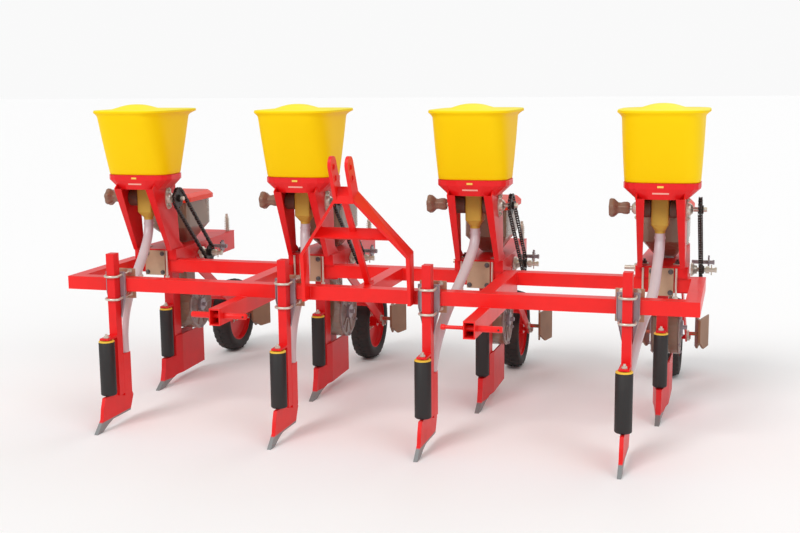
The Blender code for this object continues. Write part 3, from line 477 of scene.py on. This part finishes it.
def metering(label, x):
    """Cream box with brown cheeks, bearing flanges, the feed shaft, its hand knob and its sprocket."""
    dress("fert_meter" + label, MATERIALS["cream"], 0.0020)
    bore = 0.0092
    cheeks = Solid()
    for low, high, radius in ((-0.0800, -0.0395, 0.0335), (0.0275, 0.0520, 0.0335), (0.0520, 0.0800, 0.0210)):
        cheeks.lathe([(0.0, bore), (0.0, radius - 0.002), (0.06, radius), (0.94, radius), (1.0, radius - 0.002),
                      (1.0, bore)], (low, FEED_Y, FEED_Z), (high, FEED_Y, FEED_Z), 36, closed=True)
    piece("meter_cheeks" + label, cheeks, "brown", "frame", x)

    flange = Solid()
    face, thick = 0.0854, 0.004

    def oval(half_y, half_z, count=40):
        turns = [2 * pi * i / count for i in range(count)]
        return [(FEED_Y + half_y * cos(turn), FEED_Z + half_z * sin(turn)) for turn in turns]

    edge, hole = oval(0.026, 0.045), oval(bore, bore)
    boss = [(0.0, bore), (0.0, 0.0235), (0.55, 0.0225), (0.85, 0.0170), (1.0, 0.0150), (1.0, bore)]
    for side in (1, -1):
        levels = ((face, hole), (face, edge), (face + thick, edge), (face + thick, hole))
        flange.rings([[(side * level, a, b) for a, b in shape] for level, shape in levels], closed=True)
        flange.lathe(boss, (side * (face + 0.0036), FEED_Y, FEED_Z), (side * (face + 0.0220), FEED_Y, FEED_Z),
                     32, closed=True)
        for lift in (-0.034, 0.034):
            flange.bolt((side * (face + thick), FEED_Y, FEED_Z + lift), (side, 0, 0), 0.0045, 0.003)
    piece("bearing_flanges" + label, flange, "zinc", "frame", x, smooth=40.0)

    def along(solid, profile, low, high, sides, **flutes):
        solid.lathe(profile, (low, FEED_Y, FEED_Z), (high, FEED_Y, FEED_Z), sides, **flutes)

    shaft = Solid()
    along(shaft, [(0.0, SHAFT_RADIUS), (1.0, SHAFT_RADIUS)], -0.118, 0.131, 24)
    along(shaft, [(0.0, 0.0072), (0.08, SHAFT_RADIUS), (1.0, SHAFT_RADIUS)], 0.157, 0.139, 24)
    along(shaft, [(0.0, 0.022), (1.0, 0.022)], -0.0325, 0.0205, 72, lobes=10, depth=0.22)
    piece("feed_roller" + label, shaft, "zinc", f"feed{label}", x, replaces=["feed_shaft" + label])
    knob = Solid()
    along(knob, [(0.0, 0.0240), (0.02, 0.0330), (0.10, 0.0365), (0.24, 0.0355), (0.34, 0.0290), (0.45, 0.0215),
                 (0.58, 0.0205), (0.72, 0.0235), (0.90, 0.0240), (1.0, 0.0200)], -0.190, -0.1165, 72, lobes=6,
          depth=0.13)
    piece("feed_knob" + label, knob, "knob", f"feed{label}", x)
    piece("feed_sprocket" + label, sprocket(FEED_Y, FEED_Z, 0.0350, 15), "chain", f"feed{label}", x,
          smooth=25.0)


def toothed(y, z, root, height, teeth, shape):
    """Outline of a toothed wheel; shape gives (share of the pitch, share of the height)."""
    rim = []
    for tooth in range(teeth):
        for share, rise in shape:
            angle = 2 * pi * (tooth + share) / teeth
            reach = root + rise * height
            rim.append((y + reach * cos(angle), z + reach * sin(angle)))
    return rim


def sprocket(y, z, root, teeth):
    """Toothed wheel in the chain's plane, with a hub and five shallow holes."""
    half, hub_end, holes = 0.0022, 0.0120, 5
    rim = toothed(y, z, root, 0.0045, teeth, ((0.0, 0), (0.30, 0), (0.42, 1), (0.58, 1), (0.70, 0)))
    solid = Solid().plate(rim, "X", CHAIN_X - half, CHAIN_X + half)
    solid.bar((CHAIN_X - 0.0040, y, z), (CHAIN_X + hub_end, y, z), 0.0150, 28)
    for turn in range(holes):
        angle = 2 * pi * turn / holes
        hole = (y + 0.024 * cos(angle), z + 0.024 * sin(angle))
        solid.bar((CHAIN_X + half, *hole), (CHAIN_X + 0.0030, *hole), 0.0042, 14)
    return solid


def chain_path(upper, lower, count):
    """Points and headings round a belt of two pulleys given as (y, z, radius)."""
    a, b = Vector(upper[:2]), Vector(lower[:2])
    span = (b - a).length
    heading = atan2(b.y - a.y, b.x - a.x)
    lean = (upper[2] - lower[2]) / span
    open_angle = pi / 2 - lean
    stretches = []
    straight = sqrt(span ** 2 - (upper[2] - lower[2]) ** 2)
    wrap_upper = 2 * pi - 2 * open_angle
    wrap_lower = 2 * open_angle
    stretches.append(("arc", a, upper[2], heading + open_angle, wrap_upper))
    start = a + upper[2] * Vector((cos(heading - open_angle), sin(heading - open_angle)))
    end = b + lower[2] * Vector((cos(heading - open_angle), sin(heading - open_angle)))
    stretches.append(("line", start, end))
    stretches.append(("arc", b, lower[2], heading - open_angle, wrap_lower))
    start = b + lower[2] * Vector((cos(heading + open_angle), sin(heading + open_angle)))
    end = a + upper[2] * Vector((cos(heading + open_angle), sin(heading + open_angle)))
    stretches.append(("line", start, end))
    lengths = [upper[2] * wrap_upper, straight, lower[2] * wrap_lower, straight]
    total = sum(lengths)
    points = []
    for i in range(count):
        left = total * i / count
        for stretch, length in zip(stretches, lengths):
            if left <= length:
                break
            left -= length
        if stretch[0] == "arc":
            angle = stretch[3] + left / stretch[2]
            points.append(stretch[1] + stretch[2] * Vector((cos(angle), sin(angle))))
        else:
            points.append(stretch[1].lerp(stretch[2], left / length))
    return points


def drive_chain(label, x):
    """Roller chain: side plates in turn inside and outside, and a roller at each joint."""
    points = chain_path((FEED_Y, FEED_Z, 0.0405), (LOW_Y, LOW_Z, 0.0350), 68)
    plate_end, half_plate, roller_half = 0.0050, 0.0007, 0.0068
    links = Solid()
    for i, point in enumerate(points):
        ahead = points[(i + 1) % len(points)]
        middle = (point + ahead) / 2
        turn = atan2(ahead.y - point.y, ahead.x - point.x)
        length = (ahead - point).length
        reach = 0.0042 if i % 2 == 0 else 0.0058
        for side in (-1, 1):
            level = CHAIN_X + side * reach
            shape = []
            for end in (1, -1):
                centre = middle + end * 0.5 * length * Vector((cos(turn), sin(turn)))
                for step in range(5):
                    angle = turn + (pi / 2 if end < 0 else -pi / 2) + pi * step / 4
                    shape.append((centre.x + plate_end * cos(angle), centre.y + plate_end * sin(angle)))
            links.plate(shape, "X", level - half_plate, level + half_plate)
        links.bar((CHAIN_X - roller_half, *point), (CHAIN_X + roller_half, *point), 0.0033, 10)
    piece("drive_chain" + label, links, "chain", "frame", x, smooth=30.0)
    piece("counter_sprocket" + label, sprocket(LOW_Y, LOW_Z, 0.0300, 13), "chain", "frame", x, smooth=25.0)


def counter_shaft(label, x):
    """Shaft under the chain with a bearing on each wall of the row frame, and the clutch gear behind it."""
    shaft = Solid()

    def bar(low, high, radius, sides):
        shaft.bar((low, LOW_Y, LOW_Z), (high, LOW_Y, LOW_Z), radius, sides)

    bar(0.0950, 0.1860, SHAFT_RADIUS, 24)
    bar(-0.0950, -0.1560, SHAFT_RADIUS, 24)
    for side in (1, -1):
        shaft.lathe([(0.0, 0.026), (0.35, 0.025), (0.6, 0.018), (1.0, 0.016)], (side * 0.0948, LOW_Y, LOW_Z),
                    (side * 0.1180, LOW_Y, LOW_Z), 32)
        for lift in (-0.030, 0.030):
            shaft.bolt((side * 0.0960, LOW_Y + lift, LOW_Z + 0.004), (side, 0, 0), 0.0045, 0.004)
    bar(0.1500, 0.1640, 0.0140, 28)
    shaft.hexagon((0.1840, LOW_Y, LOW_Z), (1, 0, 0), 0.019, 0.008)
    split_pin, half = 0.1720, 0.020
    shaft.bar((split_pin, LOW_Y, LOW_Z + half), (split_pin, LOW_Y, LOW_Z - half), 0.0022, 10)
    piece("counter_shaft" + label, shaft, "zinc", "frame", x, smooth=40.0)

    gear_y, gear_z, gear_end = LOW_Y + 0.075, LOW_Z + 0.018, 0.1740
    gear = Solid()
    rim = toothed(gear_y, gear_z, 0.020, 0.007, 10, ((0.0, 0), (0.35, 0), (0.5, 1), (0.65, 1), (0.8, 0)))
    gear.plate(rim, "X", 0.1560, 0.1620)
    gear.bar((0.0950, gear_y, gear_z), (gear_end, gear_y, gear_z), 0.0075, 20)
    gear.hexagon((gear_end, gear_y, gear_z), (1, 0, 0), 0.017, 0.007)
    piece("clutch_gear" + label, gear, "grey", "frame", x, smooth=30.0)


def hose_path(knots, lead=0.02):
    """Smooth line through the knots that leaves the first and meets the last straight down."""
    curve = bpy.data.curves.new("hose_line", "CURVE")
    curve.dimensions = "3D"
    curve.resolution_u = 22
    spline = curve.splines.new("BEZIER")
    spline.bezier_points.add(len(knots) - 1)
    for knot, bezier in zip(knots, spline.bezier_points):
        bezier.co = knot
        bezier.handle_left_type = bezier.handle_right_type = "AUTO"
    for bezier in (spline.bezier_points[0], spline.bezier_points[-1]):
        bezier.handle_left_type = bezier.handle_right_type = "FREE"
        bezier.handle_left = bezier.co + Vector((0, 0, lead))
        bezier.handle_right = bezier.co - Vector((0, 0, lead))
    holder = bpy.data.objects.new("hose_line", curve)
    bpy.context.scene.collection.objects.link(holder)
    line = holder.to_mesh()
    path = [v.co.copy() for v in line.vertices]
    holder.to_mesh_clear()
    bpy.data.objects.remove(holder, do_unlink=True)
    return path


def hose(row, label, x, inwards):
    """Soft delivery hose with faint reinforcing ribs, pushed over the spout and into the opener."""
    bend = (0.38, 0.72, 0.36, 0.12)[row]           # share of the sideways run made by mid-span
    start = SPOUT_X
    run = inwards * OPENER_SHIFT - start
    knots = [(start, FEED_Y, 0.7257), (start, FEED_Y - 0.006, 0.680), (start + 0.35 * bend * run, 0.358, 0.615),
             (start + bend * run, 0.245, 0.532), (start + (0.45 + 0.55 * bend) * run, 0.120, 0.440),
             (start + (0.80 + 0.20 * bend) * run, 0.050, 0.345), (start + run, 0.030, 0.2623)]
    path = hose_path(knots)
    sizes = [0.0186 + 0.0004 * (i % 2) for i in range(len(path))]
    piece("fert_hose_skin" + label, Solid().tube(path, sizes, 32), "hose", "frame", x, 60.0,
          replaces=["fert_hose" + label])
    bore, radius = 0.0193, 0.0206
    clip = Solid().lathe([(0.0, bore), (0.0, radius), (1.0, radius), (1.0, bore)], (start, FEED_Y, 0.7120),
                         (start, FEED_Y, 0.7050), 40, closed=True)
    piece("hose_clip" + label, clip, "hose", "frame", x)


def fertilizer_opener(label, x):
    """Opener with its tapered clamp plates, the plate behind the beam and two U-bolts."""
    dress("fert_opener" + label, POINT_RED, 0.0014)
    plates = Solid()
    inner, outer, top, shoulder, foot = 0.0172, 0.0388, 0.5808, 0.4995, 0.4050
    face = [(inner, top), (outer, top), (outer, shoulder), (inner, foot)]
    lip = [(0.0362, top), (outer, top), (outer, shoulder), (inner, foot), (inner, 0.4115), (0.0362, 0.5000)]
    for side in (-1, 1):
        plates.plate([(side * a, b) for a, b in face], "Y", -0.0082, -0.0004)
        plates.plate([(side * a, b) for a, b in lip], "Y", -0.0125, -0.0080)
    piece("opener_clamp" + label, plates, "grey", "frame", x, smooth=30.0, bevel=0.0005)
    backing = Solid().block(-0.049, 0.049, 0.0504, 0.0554, 0.4700, 0.5840)
    piece("opener_backing" + label, backing, "tan", "frame", x, smooth=30.0, bevel=0.0008)

    bolts = Solid()
    half, front, sag = 0.0275, -0.036, 0.003
    for z in (0.5710, 0.4840):
        loop = [(-half, 0.066, z + sag), (-half, front, z - sag)]
        loop += [(-half * cos(radians(a)), front - 0.0175 * sin(radians(a)), z - 0.004)
                 for a in range(15, 180, 15)]
        loop += [(half, front, z - sag), (half, 0.066, z + sag)]
        bolts.tube(loop, 0.0044, 14)
        for side in (-1, 1):
            bolts.bolt((side * half, 0.0556, z + sag), (0, 1, 0), 0.0055, 0.006)
            bolts.bolt((side * half, 0.0502, z + sag), (0, -1, 0), 0.0055, 0.002)
    piece("opener_u_bolts" + label, bolts, "zinc", "frame", x, smooth=50.0)
    roller(label, x, "fert", -0.097, 0.0295)


def roller(label, x, kind, y, radius):
    """Rubber-covered anti-wrap roller with its plastic cap, and the bolt over its bracket."""
    low, high, bore = ROLLER_LOW, ROLLER_HIGH, ROLLER_BORE
    body = f"{kind}_roller{label}"
    skin = Solid().lathe([(0.0, bore), (0.0, radius - 0.003), (0.008, radius - 0.001), (0.02, radius),
                          (0.955, radius), (0.965, radius - 0.0015), (0.965, bore)],
                         (0, y, low), (0, y, high), 56, closed=True)
    piece(f"{kind}_roller_skin{label}", skin, "rubber", body, x, 40.0,
          replaces=[f"{kind}_roller{label}"])
    cap = Solid().lathe([(0.0, bore), (0.0, radius - 0.0005), (0.45, radius - 0.0005), (0.75, radius - 0.003),
                         (0.80, radius - 0.008), (0.45, radius - 0.010), (0.45, bore)],
                        (0, y, 0.3292), (0, y, high), 48, closed=True)
    piece(f"{kind}_roller_cap{label}", cap, "cap", body, x, 40.0)
    bolt = Solid().bolt((0, y, 0.3442), (0, 0, 1), 0.0058, 0.007)
    piece(f"{kind}_roller_bolt{label}", bolt, "zinc", "frame", x)


# ------------------------------------------------------------------- row unit
def row_frame(label, x):
    """Row frame with its clamp on the rear beam, and the depth rod and spring at its back."""
    dress("unit_frame" + label, MATERIALS["row_red"], 0.0012)
    clamp = Solid().block(-0.045, 0.045, 0.4462, 0.4502, 0.4900, 0.5930)
    piece("clamp_plate" + label, clamp, "tan", "frame", x, smooth=30.0, bevel=0.0008)
    rods, nuts = Solid(), Solid()
    front, lug_y, lug_low, lug_top = 0.4460, 0.5130, 0.5984, 0.6006
    for side in (-1, 1):
        for z in (0.5020, 0.5800):
            nuts.bolt((side * 0.034, front, z), (0, -1, 0), 0.0050, 0.003)
        at = side * 0.060 - 0.006
        rods.bar((at, front, 0.4860), (at, front, 0.5930), 0.0042, 16)
        rods.hexagon((at, front, 0.4880), (0, 0, -1), 0.015, 0.008)
        rods.block(at - 0.015, at + 0.015, lug_y - 0.015, lug_y + 0.015, lug_low, lug_top)
        nuts.hexagon((at, lug_y, lug_top), (0, 0, 1), 0.017, 0.009)
        nuts.bar((at, lug_y, 0.6090), (at, lug_y, 0.6170), 0.0046, 16)
    piece("clamp_rods" + label, rods, "zinc", "frame", x, smooth=40.0)
    piece("clamp_nuts" + label, nuts, "steel", "frame", x, smooth=40.0)

    depth = Solid()
    rod_x, rod_y, coil_radius, rise, steps = 0.060, 1.035, 0.0105, 0.00048, 120
    depth.bar((rod_x, rod_y, 0.5950), (rod_x, rod_y, 0.6790), 0.0060, 16)
    turns = [(i, i * pi / 8) for i in range(steps)]
    depth.tube([(rod_x + coil_radius * cos(turn), rod_y + coil_radius * sin(turn), 0.6000 + rise * i)
                for i, turn in turns], 0.0017, 8)
    depth.hexagon((rod_x, rod_y, 0.6590), (0, 0, 1), 0.016, 0.008)
    piece("depth_spring" + label, depth, "zinc", "frame", x, smooth=50.0)


def seed_unit(label, x):
    """Clear seed box and its lid, the seed opener, and the covers and screws of the metering drum."""
    dress("seed_box" + label, MATERIALS["clear"], 0.0016)
    dress("seed_lid" + label, MATERIALS["orange"], 0.0024)
    dress("seed_opener" + label, SHOE_RED, 0.0014)
    y, z, radius = DRUM_Y, DRUM_Z, DRUM_RADIUS
    right, left, hub_radius = 0.0554, -0.0404, 0.0280
    cover = Solid()
    dish = [(0.0, 0.030), (0.0, radius - 0.002), (0.4, radius + 0.0010), (1.0, radius - 0.003),
            (1.0, radius - 0.010), (0.5, radius - 0.014), (0.5, 0.030)]
    for low, high in ((right, 0.0620), (left, -0.0470)):
        cover.lathe(dish, (low, y, z), (high, y, z), 64, closed=True)
    rib_x, inner, outer, ribs = 0.0600, 0.034, radius - 0.016, 10
    for turn in range(ribs):
        angle = 2 * pi * turn / ribs
        cover.bar((rib_x, y + inner * cos(angle), z + inner * sin(angle)),
                  (rib_x, y + outer * cos(angle), z + outer * sin(angle)), 0.0022, 8)
    piece("meter_cover" + label, cover, "drum", "frame", x, 40.0)

    hub = Solid()
    hub.bar((right, y, z), (0.0700, y, z), hub_radius, 36)
    hub.bar((left, y, z), (-0.0560, y, z), hub_radius, 36)
    hub.bar((0.0690, y, z), (0.0860, y, z), 0.0085, 20)
    screws = 6
    for turn in range(screws):
        angle = 2 * pi * (turn + 0.5) / screws
        spot = (y + (radius - 0.0060) * cos(angle), z + (radius - 0.0060) * sin(angle))
        hub.bolt((0.0610, *spot), (1, 0, 0), 0.0036, 0.002)
        hub.bolt((-0.0460, *spot), (-1, 0, 0), 0.0036, 0.002)
    piece("meter_hub" + label, hub, "grey", "frame", x, smooth=40.0)
    roller(label, x, "seed", 0.524, 0.027)


# --------------------------------------------------------------- ground wheel
def tread_blocks(skin, tread, count=30):
    """Tapered blocks in two staggered rows, joined to the tyre and lower towards its shoulders."""
    inner, outer = WHEEL_RADIUS - tread - 0.004, WHEEL_RADIUS - 0.0004
    shoulder, drop = 0.02, 0.006
    for tooth in range(count):
        for side in (-1, 1):
            angle = 2 * pi * (tooth + (0.5 if side > 0 else 0.0)) / count
            turn = Matrix.Rotation(angle, 3, "X")
            foot = [(a, b, inner) for a, b in ((0.004, -0.0082), (0.038, -0.0082), (0.038, 0.0082),
                                               (0.004, 0.0082))]
            head = [(a, b, outer - (drop if a > shoulder else 0.0))
                    for a, b in ((0.005, -0.0068), (0.030, -0.0068), (0.030, 0.0068), (0.005, 0.0068))]
            for block in (foot, head):
                block[:] = [turn @ Vector((side * a, b, reach)) + Vector((0, WHEEL_Y, WHEEL_Z))
                            for a, b, reach in block]
                if side < 0:
                    block[:] = [block[i] for i in (1, 0, 3, 2)]
            skin.rings([foot, head])


def ground_wheel(label, x):
    """Tyre with tread blocks on a rim of two dished halves bolted together."""
    y, z = WHEEL_Y, WHEEL_Z
    body = f"wheel{label}"
    tread = 0.0050
    half_tyre = [(-0.030, 0.118), (-0.036, 0.122), (-TYRE_HALF, 0.133), (-TYRE_HALF, 0.146),
                 (-TYRE_HALF + 0.003, 0.158), (-0.033, 0.1645), (-0.022, WHEEL_RADIUS - tread)]
    profile = half_tyre + [(-a, r) for a, r in reversed(half_tyre)]
    skin = Solid()
    skin.lathe([(0.5 + a / (2 * TYRE_HALF), r) for a, r in profile], (-TYRE_HALF, y, z), (TYRE_HALF, y, z), 96,
               closed=True)
    tread_blocks(skin, tread)
    piece("wheel_tyre" + label, skin, "tyre", body, x, 35.0, replaces=["drive_wheel" + label])

    rim = Solid()
    half = 0.040
    dish = [(-0.034, 0.1175), (-0.034, 0.1200), (-0.012, 0.1140), (-0.0035, 0.0980), (-0.0035, 0.0400),
            (0.0005, 0.0400), (0.0005, 0.1000), (-0.008, 0.1165), (-0.006, 0.1185)]
    hub = [(0.0, 0.0106), (0.0, 0.0215), (0.42, 0.0235), (0.45, 0.0440), (0.55, 0.0440), (0.58, 0.0235),
           (1.0, 0.0215), (1.0, 0.0106)]
    for side in (1, -1):
        rim.lathe([(0.5 + side * a / (2 * half), r) for a, r in dish], (-half, y, z), (half, y, z), 72,
                  closed=True)
    rim.lathe(hub, (-half, y, z), (half, y, z), 48, closed=True)
    piece("wheel_rim" + label, rim, "row_red", body, x, 40.0)
    bolts = Solid()
    face, circle, count = 0.0042, 0.034, 6
    for turn in range(count):
        angle = 2 * pi * turn / count
        spot = (y + circle * cos(angle), z + circle * sin(angle))
        for side in (1, -1):
            bolts.bolt((side * face, *spot), (side, 0, 0), 0.0042, 0.002)
    piece("wheel_bolts" + label, bolts, "zinc", body, x)


def wheel_fork(label, x):
    """Finish of the swing fork: red arms, brown coverers, zinc nuts."""
    node = dress("wheel_arm" + label, MATERIALS["row_red"], 0.0012)
    node.data.materials.append(MATERIALS["plate"])
    middle = x + SHIFT.x
    for face in node.data.polygons:
        if abs(face.center.x - middle) > COVERER_X and face.center.y > COVERER_Y:
            face.material_index = 1
    nuts = Solid()
    low, high, bolt_y, bolt_z = 0.0665, 0.0765, 1.1729, 0.1956
    for side in (-1, 1):
        nuts.bolt((side * 0.0664, WHEEL_Y, WHEEL_Z), (side, 0, 0), 0.0105, 0.004)
        ring_bar(nuts, side * low, side * high, 0.0082, 0.0150, bolt_y, bolt_z, 28)
    piece("axle_nuts" + label, nuts, "zinc", f"fork{label}", x)


def hinges(label, x):
    """Small butt hinges behind the hopper and seed box lids, split between box and lid."""
    out, drop, radius, gap = 0.0035, 0.0040, 0.0030, 0.0005
    for kind, y, z, reach, width in (("hopper", 0.642, 1.170, 0.060, 0.014),
                                     ("seed", 0.839, 0.787, 0.050, 0.012)):
        still, moving = Solid(), Solid()
        for side in (-1, 1):
            middle = side * reach
            still.bar((middle - width, y + out, z - drop), (middle - gap, y + out, z - drop), radius, 16)
            still.block(middle - width, middle - gap, y - 0.0045, y + out, z - 0.0066, z - 0.0046)
            moving.bar((middle + gap, y + out, z - drop), (middle + width, y + out, z - drop), radius, 16)
        piece(f"{kind}_hinge{label}", still, "zinc", "frame", x)
        piece(f"{kind}_lid_hinge{label}", moving, "zinc", f"{kind}_lid{label}", x)


# ------------------------------------------------------------ floor and light
def studio():
    floor_and_white()
    backdrop()
    for name, place, power, spread in (("key", (-1.6, -3.8, 3.6), 1.25, 24.0),
                                       ("fill", (3.4, -2.2, 2.6), 0.55, 40.0),
                                       ("rear", (0.6, 3.6, 3.0), 0.45, 40.0)):
        lamp = bpy.data.lights.new(name, "SUN")
        lamp.energy = power
        lamp.angle = radians(spread)
        holder = bpy.data.objects.new(name, lamp)
        holder.location = place
        holder.rotation_euler = (-Vector(place)).to_track_quat("-Z", "Y").to_euler()
        bpy.context.scene.collection.objects.link(holder)
    view = bpy.context.scene.view_settings
    view.view_transform = "Standard"
    view.look = "None"
    view.exposure = 0.0


def floor_and_white(size=60.0):
    mesh = bpy.data.meshes.new("floor")
    corners = [(-size, -size, 0), (size, -size, 0), (size, size, 0), (-size, size, 0)]
    mesh.from_pydata(corners, [], [(0, 1, 2, 3)])
    floor = bpy.data.objects.new("floor", mesh)
    bpy.context.scene.collection.objects.link(floor)
    white = bpy.data.materials.new("floor_white")
    white.use_nodes = True
    shader = white.node_tree.nodes["Principled BSDF"]
    shader.inputs["Base Color"].default_value = (0.93, 0.93, 0.93, 1.0)
    shader.inputs["Roughness"].default_value = 0.9
    mesh.materials.append(white)


def backdrop(light=0.62, seen=0.95):
    """White world that lights the machine at one strength and is seen at another."""
    world = bpy.data.worlds.new("studio")
    bpy.context.scene.world = world
    world.use_nodes = True
    nodes, links = world.node_tree.nodes, world.node_tree.links
    lighting, visible = nodes["Background"], nodes.new("ShaderNodeBackground")
    for node, strength in ((lighting, light), (visible, seen)):
        node.inputs["Color"].default_value = (1.0, 1.0, 1.0, 1.0)
        node.inputs["Strength"].default_value = strength
    ray = nodes.new("ShaderNodeLightPath")
    blend = nodes.new("ShaderNodeMixShader")
    links.new(ray.outputs["Is Camera Ray"], blend.inputs["Fac"])
    links.new(lighting.outputs["Background"], blend.inputs[1])
    links.new(visible.outputs["Background"], blend.inputs[2])
    links.new(blend.outputs["Shader"], nodes["World Output"].inputs["Surface"])


def camera():
    """Eye 1.3 m up, in front of the machine's right half and turned to the left."""
    yaw, pitch, roll = radians(16.316), radians(9.239), -0.01
    place = Vector((1.302, -3.937, 1.306))
    ahead = Vector((-sin(yaw) * cos(pitch), cos(yaw) * cos(pitch), -sin(pitch)))
    right = Vector((cos(yaw), sin(yaw), 0.0))
    up = right.cross(ahead)
    across = right * cos(roll) + up * sin(roll)
    upward = -right * sin(roll) + up * cos(roll)
    lens = bpy.data.cameras.new("camera")
    lens.lens = 53.34
    lens.sensor_width = 36.0
    lens.sensor_fit = "HORIZONTAL"
    lens.clip_start = 0.05
    eye = bpy.data.objects.new("camera", lens)
    turn = Matrix((across, upward, -ahead)).transposed().to_4x4()
    turn.translation = place + SHIFT
    eye.matrix_world = turn
    bpy.context.scene.collection.objects.link(eye)
    bpy.context.scene.camera = eye


def main():
    toolbar_and_mast()
    for row, x in enumerate(ROWS):
        label = f"_{row + 1}"
        inwards = 1 if x < 0 else -1
        hopper_bin(label, x)
        hopper_lid(label, x)
        stand_tag_and_highlight(label, x)
        metering(label, x)
        drive_chain(label, x)
        counter_shaft(label, x)
        hose(row, label, x, inwards)
        fertilizer_opener(label, x + inwards * OPENER_SHIFT)
        row_frame(label, x)
        seed_unit(label, x)
        ground_wheel(label, x)
        wheel_fork(label, x)
        hinges(label, x)
    studio()
    camera()


main()
